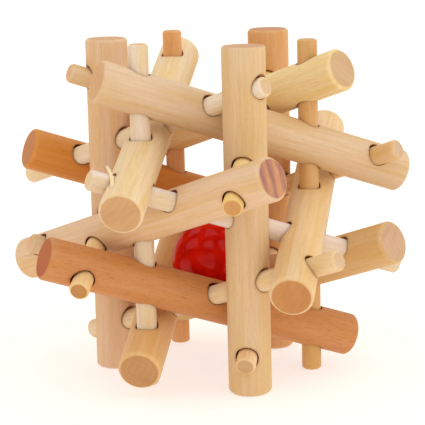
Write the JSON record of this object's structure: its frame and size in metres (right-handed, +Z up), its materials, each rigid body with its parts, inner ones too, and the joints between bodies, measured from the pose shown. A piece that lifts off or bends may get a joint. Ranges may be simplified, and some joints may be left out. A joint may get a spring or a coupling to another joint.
{
  "type": "wooden burr puzzle",
  "caption": "Burr puzzle: a see-through cage of thick round wooden bars locked by thin dowels in four directions, with a loose red ball caught inside.",
  "frame": {"origin": "on the ground, under the middle of the cage", "axes": "+Z up along the upright bars, -Y to the front, +X to the right"},
  "size_m": [0.1434, 0.1403, 0.1209],
  "materials": {
    "bar_cream": "sanded, unfinished",
    "bar_straw": "sanded, unfinished",
    "bar_honey": "sanded, unfinished",
    "bar_amber": "sanded, unfinished",
    "bar_russet": "sanded, unfinished",
    "bar_rosy": "sanded, unfinished",
    "dowel_birch": "sanded, unfinished",
    "ball_lacquer": "glossy lacquer"
  },
  "bodies": {
    "bar_frame": {"bar_upright_left": "bar_straw", "bar_upright_front": "bar_cream", "bar_upright_back": "bar_rosy", "bar_right_top": "bar_straw", "bar_right_middle": "bar_amber", "bar_right_bottom": "bar_russet", "bar_left_top": "bar_straw", "bar_left_middle": "bar_straw", "bar_left_bottom": "bar_honey", "bar_front_top": "bar_cream", "bar_front_middle": "bar_cream", "bar_front_bottom": "bar_cream"},
    "dowel_upright_right_rod": {"dowel_upright_right": "dowel_birch"},
    "dowel_upright_front_rod": {"dowel_upright_front": "dowel_birch"},
    "dowel_upright_back_rod": {"dowel_upright_back": "dowel_birch"},
    "dowel_right_top_rod": {"dowel_right_top": "dowel_birch"},
    "dowel_right_middle_rod": {"dowel_right_middle": "dowel_birch"},
    "dowel_right_bottom_rod": {"dowel_right_bottom": "dowel_birch"},
    "dowel_left_top_rod": {"dowel_left_top": "dowel_birch"},
    "dowel_left_middle_rod": {"dowel_left_middle": "dowel_birch"},
    "dowel_left_bottom_rod": {"dowel_left_bottom": "dowel_birch"},
    "dowel_front_top_rod": {"dowel_front_top": "dowel_birch"},
    "dowel_front_middle_rod": {"dowel_front_middle": "dowel_birch"},
    "dowel_front_bottom_rod": {"dowel_front_bottom": "dowel_birch"},
    "loose_ball": {"ball": "ball_lacquer"}
  },
  "joints": [
    {"name": "dowel_upright_right_slide", "type": "slide", "parent": "bar_frame", "child": "dowel_upright_right_rod", "axis": [0, 0, 1], "range_m": [0, 0.12]},
    {"name": "dowel_upright_front_slide", "type": "slide", "parent": "bar_frame", "child": "dowel_upright_front_rod", "axis": [0, 0, 1], "range_m": [-0.0018, 0.12]},
    {"name": "dowel_upright_back_slide", "type": "slide", "parent": "bar_frame", "child": "dowel_upright_back_rod", "axis": [0, 0, 1], "range_m": [-0.0006, 0.12]},
    {"name": "dowel_right_top_slide", "type": "slide", "parent": "bar_frame", "child": "dowel_right_top_rod", "axis": [-0.8165, -0.4714, 0.3333], "range_m": [-0.12, 0.12]},
    {"name": "dowel_right_middle_slide", "type": "slide", "parent": "bar_frame", "child": "dowel_right_middle_rod", "axis": [-0.8165, -0.4714, 0.3333], "range_m": [-0.107, 0.12]},
    {"name": "dowel_right_bottom_slide", "type": "slide", "parent": "bar_frame", "child": "dowel_right_bottom_rod", "axis": [-0.8165, -0.4714, 0.3333], "range_m": [-0.015, 0.12]},
    {"name": "dowel_left_top_slide", "type": "slide", "parent": "bar_frame", "child": "dowel_left_top_rod", "axis": [0.8165, -0.4714, 0.3333], "range_m": [-0.12, 0.12]},
    {"name": "dowel_left_middle_slide", "type": "slide", "parent": "bar_frame", "child": "dowel_left_middle_rod", "axis": [0.8165, -0.4714, 0.3333], "range_m": [-0.107, 0.12]},
    {"name": "dowel_left_bottom_slide", "type": "slide", "parent": "bar_frame", "child": "dowel_left_bottom_rod", "axis": [0.8165, -0.4714, 0.3333], "range_m": [-0.023, 0.12]},
    {"name": "dowel_front_top_slide", "type": "slide", "parent": "bar_frame", "child": "dowel_front_top_rod", "axis": [0, 0.9428, 0.3333], "range_m": [-0.12, 0.12]},
    {"name": "dowel_front_middle_slide", "type": "slide", "parent": "bar_frame", "child": "dowel_front_middle_rod", "axis": [0, 0.9428, 0.3333], "range_m": [-0.107, 0.12]},
    {"name": "dowel_front_bottom_slide", "type": "slide", "parent": "bar_frame", "child": "dowel_front_bottom_rod", "axis": [0, 0.9428, 0.3333], "range_m": [-0.024, 0.12]},
    {"name": "ball_travel", "type": "slide", "parent": "bar_frame", "child": "loose_ball", "axis": [0, 0, 1], "range_m": [0, 0.0405]}
  ]
}
